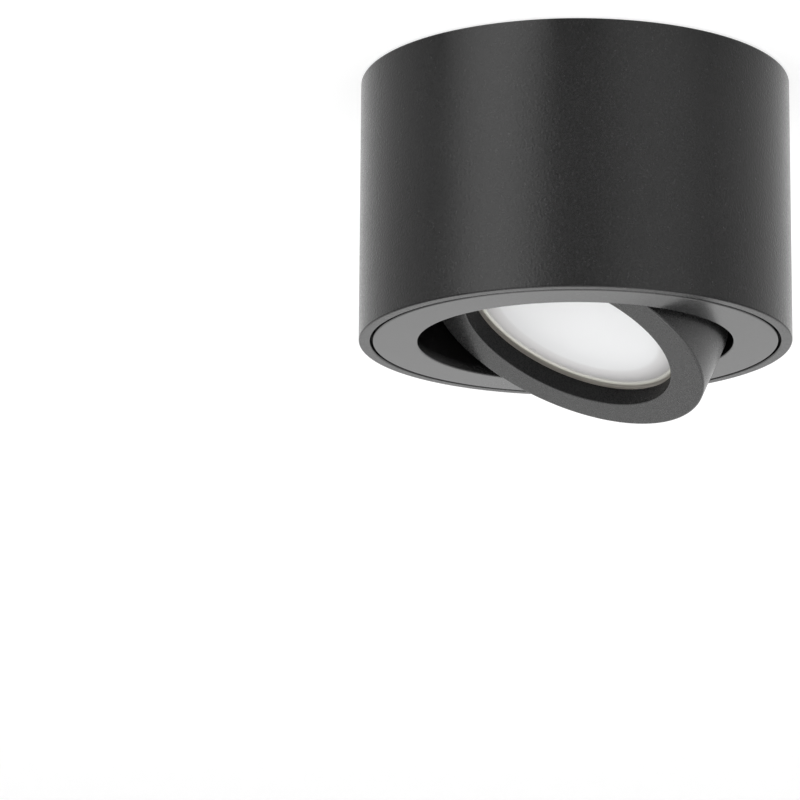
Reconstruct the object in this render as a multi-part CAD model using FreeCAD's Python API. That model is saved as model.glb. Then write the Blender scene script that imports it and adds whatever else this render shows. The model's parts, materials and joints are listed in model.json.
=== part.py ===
"""Surface mounted ceiling spotlight with a turning front plate and a tilting ring.

Millimetres. The origin is the centre of the face that lies on the ceiling and
+Z points up into the ceiling, so the lamp hangs below zero. The pieces of the
head are drawn in the head's own frame, with its origin at the pivot centre,
+Z towards the ceiling and the light leaving towards -Z, and are tilted into
place about X at the end.
"""
import FreeCAD, Part
import math
import os

# clearances
running_gap = 0.3      # between pieces that move past each other
pin_clearance = 0.05   # a pivot pin in its bore
fit_gap = 0.03         # between pieces that are fixed together
slide_gap = 0.1        # between pieces that are pushed into each other
screw_play = 0.4       # round a screw that passes through plastic
screw_tip_gap = 0.2    # beyond the end of a screw in a blind hole
past = 1.0             # how far a cut runs out of the metal

# lamp module: lens, light board, heat sink, driver and rear cap
module_radius = 25.0
lens_rim_width = 1.0
lens_rim_height = 2.0
lens_recess = 1.25     # from the rim's face back to the foot of the bead
lens_bead_inset = 0.45 # from the ring's opening in to the bead
lens_bead_width = 1.2
lens_bead_height = 0.35
lens_disc_inset = 4.5
lens_dish = 0.15
lens_crown = 0.05
lens_wall = 1.5
sink_flange = 1.7
sink_flange_width = 2.0
sink_length = 20.7
pocket_wall = 1.7
pocket_depth = 5.7
web_thickness = 3.0
driver_wall = 0.6      # between the driver's bore and the cap's screws
driver_shoulder = 1.3
fin_count = 24
fin_gap = 2.2
fin_root_inset = 2.0   # from the cap's screws out to the roots of the fins
board_thickness = 1.6
chip_size = 3.0
chip_height = 0.7
inner_chip_circle = 6.0
inner_chip_count = 4
outer_chip_circle = 14.5
outer_chip_count = 10
board_screw_radius = 1.2
board_screw_circle = 10.5
board_screw_depth = 2.1
board_head_radius = 2.4
board_head_height = 1.4
cap_length = 8.5
cap_wall = 1.6
spigot_length = 2.0
cap_post_radius = 2.1
cap_post_inset = 0.13
cap_screw_radius = 1.0
cap_screw_depth = 5.1
cap_head_height = 1.3
lead_hole_radius = 2.2
capacitor_radius = 4.3
capacitor_length = 7.5
capacitor_edge = 0.6
capacitor_inset = 8.7  # from the driver's bore in to its middle
choke_radius = 4.0
choke_waist = 3.2
choke_length = 6.7
choke_flange = 1.3
choke_inset = 9.5
choke_y = 5.6
rectifier_side = 6.4
rectifier_height = 3.2
rectifier_edge = 0.6
rectifier_inset = 9.1
rectifier_x = -4.8

# tilting ring round the module
module_play = 0.2
lip_overlap = 1.9      # how far the lip reaches in front of the module
lip_thickness = 3.9
seat_step = 2.0        # from the module's seat out to the ring's rear bore
ring_wall = 3.3
ring_length = 14.2
pivot_depth = 4.85
rest_tilt = 26.4
tilt_limit = 35.0

# front plate and the collar behind its hole
ring_gap = 2.25        # round the ring, room for it to swing
plate_face = 9.35
plate_thickness = 2.4
collar_wall = 2.0
collar_depth = 17.8

# casing: a cast aluminium can, open towards the room
plate_gap = 0.5
casing_height = 56.0
rim_wall = 2.4
casing_wall = 3.8
back_wall = 3.0
blind_floor = 1.0      # left above a blind hole in the back
edge_break = 0.35

# groove in the casing's bore, in which the grip springs ride
groove_depth = 1.2
groove_floor = 5.0
groove_flank = 2.5
groove_above_face = 12.0

# pivots
pivot_pin_radius = 1.25
pivot_thread_radius = 1.5
pivot_head_radius = 2.2
pivot_head_height = 1.5
pivot_head_gap = 1.15  # between the screw's head and the casing
pivot_boss_radius = 3.4
pin_tip_gap = 0.5
washer_radius = 3.0

# rivets with a broad flat head, the same on the collar and on the ring
rivet_head_radius = 3.55
rivet_rim = 0.3
rivet_crown = 0.65
rivet_shank_radius = 1.4
rivet_tail_radius = 2.1
rivet_tail = 0.7
rivet_count = 3
grip_rivet_azimuth = 95.7
grip_rivet_depth = 13.5
clip_rivet_azimuth = 39.5
clip_rivet_inset = 3.6  # from the ring's rear edge
spot_face = 0.1

# grip springs between collar and casing
spring_thickness = 0.5
spring_width = 8.0
spring_foot = 10.0
spring_tail = 4.2
spring_tail_gap = 0.4
hump_height = 0.8
hump_start = 0.2

# lamp clips inside the ring
clip_thickness = 0.4
clip_width = 6.0
clip_end_gap = 0.6
clip_toe_gap = 0.8     # between a clip's toe and the heat sink

# screw heads, as shares of the head's radius
slot_share = 0.32
head_edge_share = 0.2

# ceiling fixing, cable entry, terminals and earth
slot_pitch = 55.0
slot_length = 9.0
slot_width = 4.5
cable_inset = 17.2     # from the casing's bore in to the cable
cable_radius = 4.2
grommet_wall = 2.3
grommet_lip_width = 1.5
grommet_lip = 1.0
grommet_flange_width = 2.1
grommet_flange = 1.5
block_inset = 22.2
block_width = 16.0
block_height = 11.0
block_edge = 1.0
block_seat_depth = 5.5
pole_count = 3
pole_pitch = 11.0
clamp_radius = 2.6
clamp_wall = 0.9
clamp_cover = 1.4
clamp_length = 12.0
clamp_screw_radius = 1.4
clamp_screw_length = 5.5
clamp_screw_spacing = 6.0
clamp_slot_depth = 0.8
block_screw_radius = 1.4
block_screw_head = 2.6
block_head_height = 1.8
earth_azimuth = 42.0
earth_inset = 14.3
earth_boss_radius = 4.0
earth_boss_height = 3.0
earth_screw_radius = 2.0
earth_head_radius = 3.5
earth_head_height = 2.2
earth_washer_thickness = 0.8
washer_teeth = 12
washer_tooth = 0.9

# radii that follow, from the module out to the casing
opening_radius = module_radius - lip_overlap
seat_bore = module_radius + module_play
ring_bore = seat_bore + seat_step
ring_radius = ring_bore + ring_wall
hole_radius = ring_radius + ring_gap
collar_radius = hole_radius + collar_wall
plate_radius = hole_radius + plate_face
rim_radius = plate_radius + plate_gap
casing_radius = rim_radius + rim_wall
bore_radius = casing_radius - casing_wall
groove_radius = bore_radius + groove_depth
boss_end = bore_radius - pivot_head_gap - pivot_head_height
grip_seat = hole_radius + spot_face
clip_plane = math.sqrt(ring_bore**2 - (clip_width / 2) ** 2) - fit_gap
clip_seat = math.sqrt(ring_radius**2 - rivet_head_radius**2) - spot_face
sink_radius = module_radius - sink_flange_width
pocket_radius = sink_radius - pocket_wall
lens_bead_radius = opening_radius - lens_bead_inset
lens_disc_radius = opening_radius - lens_disc_inset

# the rear cap's side comes down on the collar's rear edge at the end of the tilt
collar_rise = collar_depth - pivot_depth
limit = math.radians(tilt_limit)
cap_radius = hole_radius * math.cos(limit) - collar_rise * math.sin(limit) - running_gap
cap_screw_circle = cap_radius - cap_post_radius - cap_post_inset
driver_bore = cap_screw_circle - cap_screw_radius - driver_wall
fin_root_radius = cap_screw_circle + fin_root_inset

# places on the driver's board
capacitor_x = driver_bore - capacitor_inset
choke_x = choke_inset - driver_bore
rectifier_y = rectifier_inset - driver_bore

# heights that follow, from the ceiling down
ceiling_side = -back_wall
block_seat = ceiling_side - block_seat_depth
face_z = -casing_height
plate_back_z = face_z + plate_thickness
ledge_z = plate_back_z + running_gap
collar_top_z = face_z + collar_depth
groove_z = face_z + groove_above_face
pivot_z = face_z + pivot_depth
grip_rivet_z = face_z + grip_rivet_depth

# places on the back
cable_y = bore_radius - cable_inset
block_y = block_inset - bore_radius
earth_x = (bore_radius - earth_inset) * math.cos(math.radians(earth_azimuth))
earth_y = (bore_radius - earth_inset) * math.sin(math.radians(earth_azimuth))
grommet_neck_radius = cable_radius + grommet_wall
grommet_lip_radius = grommet_neck_radius + grommet_lip_width
grommet_flange_radius = grommet_neck_radius + grommet_flange_width
clamp_bore = clamp_radius - clamp_wall

# heights in the head's own frame
ring_front = -pivot_depth
ring_back = ring_front + ring_length
clip_rivet_rise = ring_back - clip_rivet_inset
seat_z = ring_front + lip_thickness
lens_floor = seat_z + lens_recess
sink_front = seat_z + lens_rim_height
sink_shoulder = sink_front + sink_flange
sink_back = sink_front + sink_length
pocket_floor = sink_front + pocket_depth
driver_floor = pocket_floor + web_thickness
driver_board_z = sink_back - spigot_length - board_thickness
cap_back = sink_back + cap_length


def vec(x, y, z):
    return FreeCAD.Vector(x, y, z)


def turned(start, steps):
    """Turn an outline of (radius, height) points about Z.

    A step is the next point, or a pair (middle point, end point) for an arc.
    """
    edges = []
    here = vec(start[0], 0, start[1])
    for step in list(steps) + [start]:
        if isinstance(step[0], tuple):
            middle, end = (vec(r, 0, z) for r, z in step)
            edges.append(Part.Arc(here, middle, end).toShape())
        else:
            end = vec(step[0], 0, step[1])
            edges.append(Part.LineSegment(here, end).toShape())
        here = end
    return Part.Face(Part.Wire(edges)).revolve(vec(0, 0, 0), vec(0, 0, 1), 360)


def domed(radius, rise, top):
    """Half-way point of a shallow arc that rises to (0, top) from (radius, top - rise)."""
    sphere = (radius**2 + rise**2) / (2 * rise)
    half = radius / 2
    return half, top - sphere + math.sqrt(sphere**2 - half**2)


def cylinder(radius, low, high, x=0.0, y=0.0):
    return Part.makeCylinder(radius, high - low, vec(x, y, low))


def tube(inner, outer, low, high):
    return turned((inner, low), [(outer, low), (outer, high), (inner, high)])


def radial(radius, inner, outer, azimuth, height):
    """A cylinder that lies along a radius of the lamp."""
    way = vec(math.cos(math.radians(azimuth)), math.sin(math.radians(azimuth)), 0)
    return Part.makeCylinder(radius, outer - inner, way * inner + vec(0, 0, height), way)


def block(low, high):
    return Part.makeBox(*[b - a for a, b in zip(low, high)], vec(*low))


def about_axis(shape, azimuth):
    copy = shape.copy()
    copy.rotate(vec(0, 0, 0), vec(0, 0, 1), azimuth)
    return copy


def group(solids):
    return Part.makeCompound(solids)


def rivet_azimuths(first):
    return [first + 360.0 * i / rivet_count for i in range(rivet_count)]


def rivet(grip):
    """Head on the +X side of x = 0, shank through the grip, tail behind it."""
    head = turned(
        (0, 0),
        [
            (rivet_head_radius, 0),
            (rivet_head_radius, rivet_rim),
            (domed(rivet_head_radius, rivet_crown - rivet_rim, rivet_crown), (0, rivet_crown)),
        ],
    )
    shank = cylinder(rivet_shank_radius, -grip - rivet_tail / 2, rivet_rim / 2)
    tail = cylinder(rivet_tail_radius, -grip - rivet_tail, -grip)
    solid = head.fuse([shank, tail]).removeSplitter()
    solid.rotate(vec(0, 0, 0), vec(0, 1, 0), 90)
    return solid


def strip(points, thickness, width):
    """A bent leaf of even thickness along (x, z) points, centred on y = 0."""
    line = Part.makePolygon([vec(x, 0, z) for x, z in points])
    face = Part.Face(line.makeOffset2D(thickness / 2))
    face.translate(vec(0, -width / 2, 0))
    return face.extrude(vec(0, width, 0))


def casing():
    shell = turned(
        (0, 0),
        [
            (casing_radius - edge_break, 0),
            (casing_radius, -edge_break),
            (casing_radius, face_z + edge_break),
            (casing_radius - edge_break, face_z),
            (rim_radius + edge_break, face_z),
            (rim_radius, face_z + edge_break),
            (rim_radius, ledge_z),
            (bore_radius, ledge_z),
            (bore_radius, groove_z - groove_floor / 2 - groove_flank),
            (groove_radius, groove_z - groove_floor / 2),
            (groove_radius, groove_z + groove_floor / 2),
            (bore_radius, groove_z + groove_floor / 2 + groove_flank),
            (bore_radius, ceiling_side),
            (0, ceiling_side),
        ],
    )
    earth_end = ceiling_side - earth_boss_height
    boss = cylinder(earth_boss_radius, earth_end, -back_wall / 2, earth_x, earth_y)
    holes = [cylinder(earth_screw_radius + fit_gap, earth_end, ceiling_side, earth_x, earth_y)]
    holes += [ceiling_slot(side) for side in (-1, 1)]
    holes.append(cylinder(grommet_neck_radius + fit_gap, ceiling_side, 0, 0, cable_y))
    holes.append(cylinder(grommet_lip_radius + fit_gap, -grommet_lip, 0, 0, cable_y))
    for x in block_screw_places():
        holes.append(cylinder(block_screw_radius + fit_gap, ceiling_side, -blind_floor, x, block_y))
    return shell.fuse(boss).cut(holes)


def ceiling_slot(side):
    centre = side * slot_pitch / 2
    reach = (slot_length - slot_width) / 2
    ends = [cylinder(slot_width / 2, ceiling_side, 0, centre + s * reach) for s in (-1, 1)]
    middle = block(
        (centre - reach, -slot_width / 2, ceiling_side), (centre + reach, slot_width / 2, 0)
    )
    return middle.fuse(ends)


def cable_grommet():
    top = -fit_gap
    neck_top = -grommet_lip
    bottom = ceiling_side - grommet_flange
    solid = turned(
        (cable_radius, top),
        [
            (grommet_lip_radius, top),
            (grommet_lip_radius, neck_top),
            (grommet_neck_radius, neck_top),
            (grommet_neck_radius, ceiling_side),
            (grommet_flange_radius, ceiling_side),
            (grommet_flange_radius - grommet_flange / 2, bottom),
            (cable_radius, bottom),
        ],
    )
    solid.translate(vec(0, cable_y, 0))
    return solid


def pole_places():
    return [(i - (pole_count - 1) / 2) * pole_pitch for i in range(pole_count)]


def block_screw_places():
    poles = pole_places()
    return [(a + b) / 2 for a, b in zip(poles, poles[1:])]


def clamp_height():
    return ceiling_side - clamp_radius - clamp_cover


def clamp_screw_places():
    return [
        (x, block_y + side * clamp_screw_spacing / 2) for x in pole_places() for side in (-1, 1)
    ]


def terminal_block():
    room_side = ceiling_side - block_height
    half = pole_count * pole_pitch / 2
    body = block(
        (-half, block_y - block_width / 2, room_side), (half, block_y + block_width / 2, ceiling_side)
    )
    upright = [e for e in body.Edges if abs(e.tangentAt(e.FirstParameter).z) > 0.9]
    body = body.makeFillet(block_edge, upright)
    holes = []
    for x in pole_places():
        start = vec(x, block_y - block_width / 2, clamp_height())
        holes.append(Part.makeCylinder(clamp_radius + fit_gap, block_width, start, vec(0, 1, 0)))
    for x, y in clamp_screw_places():
        holes.append(cylinder(clamp_screw_radius + screw_play, room_side, clamp_height(), x, y))
    for x in block_screw_places():
        holes.append(cylinder(block_screw_radius + slide_gap, room_side, ceiling_side, x, block_y))
        holes.append(cylinder(block_screw_head + screw_play, room_side, block_seat, x, block_y))
    return body.cut(holes)


def terminal_clamps():
    clamps = []
    for x in pole_places():
        start = vec(x, block_y - clamp_length / 2, clamp_height())
        outside = Part.makeCylinder(clamp_radius, clamp_length, start, vec(0, 1, 0))
        inside = Part.makeCylinder(clamp_bore, clamp_length, start, vec(0, 1, 0))
        threads = [
            cylinder(clamp_screw_radius + fit_gap, clamp_height() - clamp_radius, clamp_height(), sx, sy)
            for sx, sy in clamp_screw_places()
            if sx == x
        ]
        clamps.append(outside.cut([inside] + threads))
    return group(clamps)


def slotted(solid, x, y, end_z, depth, radius):
    """Cut a screwdriver slot across a screw whose end faces the room."""
    half = radius * slot_share / 2
    cut = block((x - radius, y - half, end_z), (x + radius, y + half, end_z + depth))
    return solid.cut(cut)


def terminal_screws():
    tip = clamp_height() - clamp_bore / 2
    end = tip - clamp_screw_length
    screws = []
    for x, y in clamp_screw_places():
        shank = cylinder(clamp_screw_radius, end, tip, x, y)
        screws.append(slotted(shank, x, y, end, clamp_slot_depth, clamp_screw_radius))
    return group(screws)


def pan_screw(x, y, seat, tip, shank_radius, head_radius, head_height):
    """A slotted pan head screw with its head towards the room."""
    end = seat - head_height
    shoulder = head_radius * head_edge_share
    head = turned(
        (0, seat),
        [(head_radius, seat), (head_radius, end + shoulder), (head_radius - shoulder, end), (0, end)],
    )
    head.translate(vec(x, y, 0))
    shank = cylinder(shank_radius, seat - head_height / 4, tip, x, y)
    solid = head.fuse(shank).removeSplitter()
    return slotted(solid, x, y, end, head_height / 2, head_radius)


def block_screws():
    tip = -blind_floor - screw_tip_gap
    return group(
        [
            pan_screw(
                x, block_y, block_seat, tip, block_screw_radius, block_screw_head, block_head_height
            )
            for x in block_screw_places()
        ]
    )


def earth_washer():
    """A toothed lock washer that bites through the paint of the boss."""
    high = ceiling_side - earth_boss_height
    low = high - earth_washer_thickness
    solid = tube(earth_screw_radius + slide_gap, earth_boss_radius, low, high)
    gaps = []
    for i in range(washer_teeth):
        half = math.pi * earth_boss_radius / washer_teeth / 2
        root = earth_boss_radius - washer_tooth
        gap = block((root, -half, low), (earth_boss_radius + past, half, high))
        gaps.append(about_axis(gap, 360.0 * i / washer_teeth))
    solid = solid.cut(gaps)
    solid.translate(vec(earth_x, earth_y, 0))
    return solid


def earth_screw():
    seat = ceiling_side - earth_boss_height - earth_washer_thickness
    tip = ceiling_side - screw_tip_gap
    return pan_screw(
        earth_x, earth_y, seat, tip, earth_screw_radius, earth_head_radius, earth_head_height
    )


def front_plate():
    """The flat plate, the collar behind its hole and the two pivot bosses."""
    body = turned(
        (hole_radius + edge_break, face_z),
        [
            (plate_radius - edge_break, face_z),
            (plate_radius, face_z + edge_break),
            (plate_radius, plate_back_z),
            (collar_radius, plate_back_z),
            (collar_radius, collar_top_z),
            (hole_radius, collar_top_z),
            (hole_radius, face_z + edge_break),
        ],
    )
    inside = collar_radius - collar_wall / 2
    bosses = []
    holes = []
    for azimuth in (0, 180):
        boss = radial(pivot_boss_radius, inside, boss_end, 0, pivot_z)
        rib = block(
            (inside, -pivot_boss_radius, plate_back_z - plate_thickness / 2),
            (boss_end, pivot_boss_radius, pivot_z),
        )
        bosses.append(about_axis(boss.fuse(rib), azimuth))
        holes.append(
            radial(
                pivot_thread_radius + fit_gap, hole_radius - past, boss_end + past, azimuth, pivot_z
            )
        )
    for azimuth in rivet_azimuths(grip_rivet_azimuth):
        seat = radial(
            rivet_head_radius + fit_gap, hole_radius - past, grip_seat, azimuth, grip_rivet_z
        )
        shank = radial(
            rivet_shank_radius + fit_gap, hole_radius - past, collar_radius + past, azimuth, grip_rivet_z
        )
        holes += [seat, shank]
    return body.fuse(bosses).cut(holes).removeSplitter()


def grip_spring(azimuth):
    """A leaf riveted to the collar, bent over to press outwards on the casing's bore."""
    half = spring_thickness / 2
    foot = collar_radius + half
    corner = groove_radius - running_gap
    crest = math.sqrt(corner**2 - (spring_width / 2) ** 2) - half
    clear = math.sqrt((bore_radius - running_gap) ** 2 - (spring_width / 2) ** 2) - half
    foot_low = grip_rivet_z - spring_foot / 2
    foot_top = grip_rivet_z + spring_foot / 2
    reach = clear - foot
    leaf = strip(
        [
            (foot, foot_low),
            (foot, foot_top),
            (foot + reach * hump_start, foot_top + hump_height),
            (foot + reach / 2, foot_top + hump_height / 2),
            (crest, groove_z),
            (clear - spring_tail_gap, groove_z - spring_tail),
        ],
        spring_thickness,
        spring_width,
    )
    hole = radial(
        rivet_shank_radius + fit_gap,
        collar_radius - past,
        collar_radius + spring_thickness + past,
        0,
        grip_rivet_z,
    )
    return about_axis(leaf.cut(hole), azimuth)


def grip_rivets():
    rivets = []
    for azimuth in rivet_azimuths(grip_rivet_azimuth):
        solid = rivet(collar_radius + spring_thickness - grip_seat)
        solid.rotate(vec(0, 0, 0), vec(0, 0, 1), 180)
        solid.translate(vec(grip_seat, 0, grip_rivet_z))
        rivets.append(about_axis(solid, azimuth))
    return group(rivets)


def pivot_screws():
    """Shoulder screws: thread in the boss, plain pin in the ring, slot in the head."""
    pin_tip = ring_bore + pin_tip_gap
    head_end = boss_end + pivot_head_height
    half_slot = pivot_head_radius * slot_share / 2
    screws = []
    for azimuth in (0, 180):
        pin = radial(pivot_pin_radius, pin_tip, boss_end, azimuth, pivot_z)
        thread = radial(pivot_thread_radius, hole_radius, boss_end, azimuth, pivot_z)
        head = radial(pivot_head_radius, boss_end, head_end, azimuth, pivot_z)
        slot = block(
            (head_end - pivot_head_height / 2, -pivot_head_radius, pivot_z - half_slot),
            (head_end + past, pivot_head_radius, pivot_z + half_slot),
        )
        solid = pin.fuse([thread, head]).removeSplitter().cut(about_axis(slot, azimuth))
        screws.append(solid)
    return group(screws)


def friction_washers():
    outer = math.sqrt(hole_radius**2 - washer_radius**2) - fit_gap
    inner = ring_radius + running_gap / 2
    washers = []
    for azimuth in (0, 180):
        disc = radial(washer_radius, inner, outer, azimuth, pivot_z)
        hole = radial(pivot_pin_radius + fit_gap, inner - past, outer + past, azimuth, pivot_z)
        washers.append(disc.cut(hole))
    return group(washers)


def tilt_ring():
    body = turned(
        (opening_radius + edge_break, ring_front),
        [
            (ring_radius - edge_break, ring_front),
            (ring_radius, ring_front + edge_break),
            (ring_radius, ring_back - edge_break),
            (ring_radius - edge_break, ring_back),
            (ring_bore, ring_back),
            (ring_bore, sink_shoulder - clip_thickness),
            (seat_bore, sink_shoulder - clip_thickness),
            (seat_bore, seat_z),
            (opening_radius, seat_z),
            (opening_radius, ring_front + edge_break),
        ],
    )
    holes = [
        radial(pivot_pin_radius + pin_clearance, ring_bore - past, ring_radius + past, azimuth, 0)
        for azimuth in (0, 180)
    ]
    for azimuth in rivet_azimuths(clip_rivet_azimuth):
        seat = radial(
            rivet_head_radius + fit_gap, clip_seat, ring_radius + past, azimuth, clip_rivet_rise
        )
        shank = radial(
            rivet_shank_radius + fit_gap, ring_bore - past, ring_radius, azimuth, clip_rivet_rise
        )
        holes += [seat, shank]
    return body.cut(holes)


def lamp_clip(azimuth):
    """A leaf riveted inside the ring, its toe behind the module's flange."""
    half = clip_thickness / 2
    wall = clip_plane - half
    toe = sink_shoulder + half
    leaf = strip(
        [(wall, ring_back - clip_end_gap), (wall, toe), (sink_radius + clip_toe_gap, toe)],
        clip_thickness,
        clip_width,
    )
    hole = radial(rivet_shank_radius + fit_gap, wall - past, wall + past, 0, clip_rivet_rise)
    return about_axis(leaf.cut(hole), azimuth)


def clip_rivets():
    rivets = []
    for azimuth in rivet_azimuths(clip_rivet_azimuth):
        solid = rivet(clip_seat - clip_plane + clip_thickness)
        solid.translate(vec(clip_seat, 0, clip_rivet_rise))
        rivets.append(about_axis(solid, azimuth))
    return group(rivets)


def lens():
    """An opal cap: a rim on the lip, a rounded bead and a shallow dish round the disc."""
    rim_inside = module_radius - lens_rim_width
    bead_out = lens_bead_radius + lens_bead_width / 2
    bead_in = lens_bead_radius - lens_bead_width / 2
    disc_front = lens_floor + lens_dish
    back = disc_front + lens_wall
    half, low = domed(lens_disc_radius, lens_crown, 0)
    return turned(
        (0, disc_front - lens_crown),
        [
            ((half, disc_front - lens_crown - low), (lens_disc_radius, disc_front)),
            (bead_in, lens_floor),
            ((lens_bead_radius, lens_floor - lens_bead_height), (bead_out, lens_floor)),
            (rim_inside, lens_floor),
            (rim_inside, seat_z),
            (module_radius, seat_z),
            (module_radius, sink_front),
            (pocket_radius - module_play, sink_front),
            (lens_disc_radius, back),
            (0, back),
        ],
    )


def led_board():
    low = pocket_floor - board_thickness
    disc = cylinder(pocket_radius - module_play, low, pocket_floor)
    holes = [
        radial_hole(board_screw_radius + fit_gap, low, pocket_floor, board_screw_circle, azimuth)
        for azimuth in (0, 180)
    ]
    return disc.cut(holes)


def radial_hole(radius, low, high, circle, azimuth):
    angle = math.radians(azimuth)
    return cylinder(radius, low, high, circle * math.cos(angle), circle * math.sin(angle))


def led_chips():
    high = pocket_floor - board_thickness
    half = chip_size / 2
    chips = []
    rings = (
        (inner_chip_circle, inner_chip_count),
        (outer_chip_circle, outer_chip_count),
    )
    for circle, count in rings:
        chip = block((circle - half, -half, high - chip_height), (circle + half, half, high))
        chips += [about_axis(chip, 360.0 * (i + 0.5) / count) for i in range(count)]
    return group(chips)


def board_screws():
    seat = pocket_floor - board_thickness
    tip = pocket_floor + board_screw_depth
    return group(
        [
            pan_screw(
                side * board_screw_circle, 0, seat, tip,
                board_screw_radius, board_head_radius, board_head_height,
            )
            for side in (-1, 1)
        ]
    )


def heat_sink():
    body = turned(
        (module_radius, sink_front),
        [
            (module_radius, sink_shoulder),
            (sink_radius, sink_shoulder),
            (sink_radius, sink_back),
            (driver_bore, sink_back),
            (driver_bore, driver_board_z),
            (driver_bore - driver_shoulder, driver_board_z),
            (driver_bore - driver_shoulder, driver_floor),
            (0, driver_floor),
            (0, pocket_floor),
            (pocket_radius, pocket_floor),
            (pocket_radius, sink_front),
        ],
    )
    cuts = []
    for i in range(fin_count):
        gap = block(
            (fin_root_radius, -fin_gap / 2, driver_floor),
            (sink_radius + past, fin_gap / 2, sink_back),
        )
        cuts.append(about_axis(gap, 360.0 * (i + 0.5) / fin_count))
    for azimuth in (0, 180):
        deep = pocket_floor + board_screw_depth + screw_tip_gap
        cuts.append(
            radial_hole(
                board_screw_radius + fit_gap, pocket_floor, deep, board_screw_circle, azimuth
            )
        )
        screw_end = sink_back - cap_screw_depth - screw_tip_gap
        cuts.append(
            radial_hole(
                cap_screw_radius + fit_gap, screw_end, sink_back, cap_screw_circle, azimuth + 90
            )
        )
    cuts.append(cylinder(lead_hole_radius, pocket_floor, driver_floor))
    return body.cut(cuts)


def driver_board():
    high = driver_board_z + board_thickness
    return cylinder(driver_bore - slide_gap, driver_board_z, high)


def driver_capacitor():
    low = driver_board_z - capacitor_length
    body = cylinder(capacitor_radius, low, driver_board_z, capacitor_x)
    rims = [e for e in body.Edges if isinstance(e.Curve, Part.Circle)]
    return body.makeFillet(capacitor_edge, rims)


def driver_choke():
    """A drum core: two flanges on a waist that carries the winding."""
    low = driver_board_z - choke_length
    solid = turned(
        (0, low),
        [
            (choke_radius, low),
            (choke_radius, low + choke_flange),
            (choke_waist, low + choke_flange),
            (choke_waist, driver_board_z - choke_flange),
            (choke_radius, driver_board_z - choke_flange),
            (choke_radius, driver_board_z),
            (0, driver_board_z),
        ],
    )
    solid.translate(vec(choke_x, choke_y, 0))
    return solid


def rectifier():
    half = rectifier_side / 2
    low = driver_board_z - rectifier_height
    body = block(
        (rectifier_x - half, rectifier_y - half, low),
        (rectifier_x + half, rectifier_y + half, driver_board_z),
    )
    around = [e for e in body.Edges if e.BoundBox.ZMax < low + rectifier_edge]
    return body.makeChamfer(rectifier_edge, around)


def rear_cap():
    """A plastic cup with a spigot that clamps the driver board in the heat sink."""
    inner = cap_radius - cap_wall
    spigot = driver_bore - slide_gap
    body = turned(
        (spigot, sink_back),
        [
            (cap_radius, sink_back),
            (cap_radius, cap_back - edge_break),
            (cap_radius - edge_break, cap_back),
            (0, cap_back),
            (0, cap_back - cap_wall),
            (inner, cap_back - cap_wall),
            (inner, sink_back + cap_wall),
            (spigot - cap_wall, sink_back + cap_wall),
            (spigot - cap_wall, sink_back - spigot_length),
            (spigot, sink_back - spigot_length),
        ],
    )
    posts = []
    holes = [cylinder(lead_hole_radius, cap_back - cap_wall, cap_back)]
    for azimuth in (90, 270):
        posts.append(
            radial_hole(
                cap_post_radius, sink_back + cap_wall / 2, cap_back - cap_wall / 2,
                cap_screw_circle, azimuth,
            )
        )
        holes.append(
            radial_hole(
                cap_screw_radius + fit_gap, sink_back, cap_back, cap_screw_circle, azimuth
            )
        )
    return body.fuse(posts).cut(holes)


def cap_screws():
    screws = []
    for side in (-1, 1):
        y = side * cap_screw_circle
        solid = pan_screw(
            0, 0, -cap_back, -sink_back + cap_screw_depth,
            cap_screw_radius, cap_post_radius, cap_head_height,
        )
        solid.rotate(vec(0, 0, 0), vec(1, 0, 0), 180)
        solid.translate(vec(0, y, 0))
        screws.append(solid)
    return group(screws)


def in_head(shape):
    """Move a piece from the head's frame to its tilted place in the lamp."""
    placed = shape.copy()
    placed.rotate(vec(0, 0, 0), vec(1, 0, 0), rest_tilt)
    placed.translate(vec(0, 0, pivot_z))
    return placed


def pieces():
    lamp = {
        "casing": casing(),
        "cable_grommet": cable_grommet(),
        "terminal_block": terminal_block(),
        "terminal_clamps": terminal_clamps(),
        "terminal_screws": terminal_screws(),
        "block_screws": block_screws(),
        "earth_washer": earth_washer(),
        "earth_screw": earth_screw(),
        "front_plate": front_plate(),
        "grip_rivets": grip_rivets(),
        "pivot_screws": pivot_screws(),
        "friction_washers": friction_washers(),
    }
    for i, azimuth in enumerate(rivet_azimuths(grip_rivet_azimuth)):
        lamp["grip_spring_%d" % (i + 1)] = grip_spring(azimuth)
    head = {
        "tilt_ring": tilt_ring(),
        "clip_rivets": clip_rivets(),
        "lens": lens(),
        "led_board": led_board(),
        "led_chips": led_chips(),
        "board_screws": board_screws(),
        "heat_sink": heat_sink(),
        "driver_board": driver_board(),
        "driver_capacitor": driver_capacitor(),
        "driver_choke": driver_choke(),
        "rectifier": rectifier(),
        "rear_cap": rear_cap(),
        "cap_screws": cap_screws(),
    }
    for i, azimuth in enumerate(rivet_azimuths(clip_rivet_azimuth)):
        head["lamp_clip_%d" % (i + 1)] = lamp_clip(azimuth)
    for name, shape in head.items():
        lamp[name] = in_head(shape)
    return lamp


os.makedirs("parts", exist_ok=True)
for name, shape in pieces().items():
    print(name, len(shape.Solids), "solids", round(shape.Volume, 1), "mm3", shape.isValid())
    shape.exportStep("parts/%s.step" % name)
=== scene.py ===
# %% [markdown]
# # A black ceiling spotlight
# The lamp is a round can that screws to the ceiling. A flat plate closes it from below and
# turns by hand, and a ring tilts in the plate's hole and holds the light. The construction
# comes packed, at its real size, so this lesson only dresses it: the turned pieces that show
# are drawn again with softly rounded edges, and every piece gets its finish.

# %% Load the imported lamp
import json
import math
from functools import cached_property

import bpy
import numpy as np
from mathutils import Matrix, Quaternion, Vector


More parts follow.
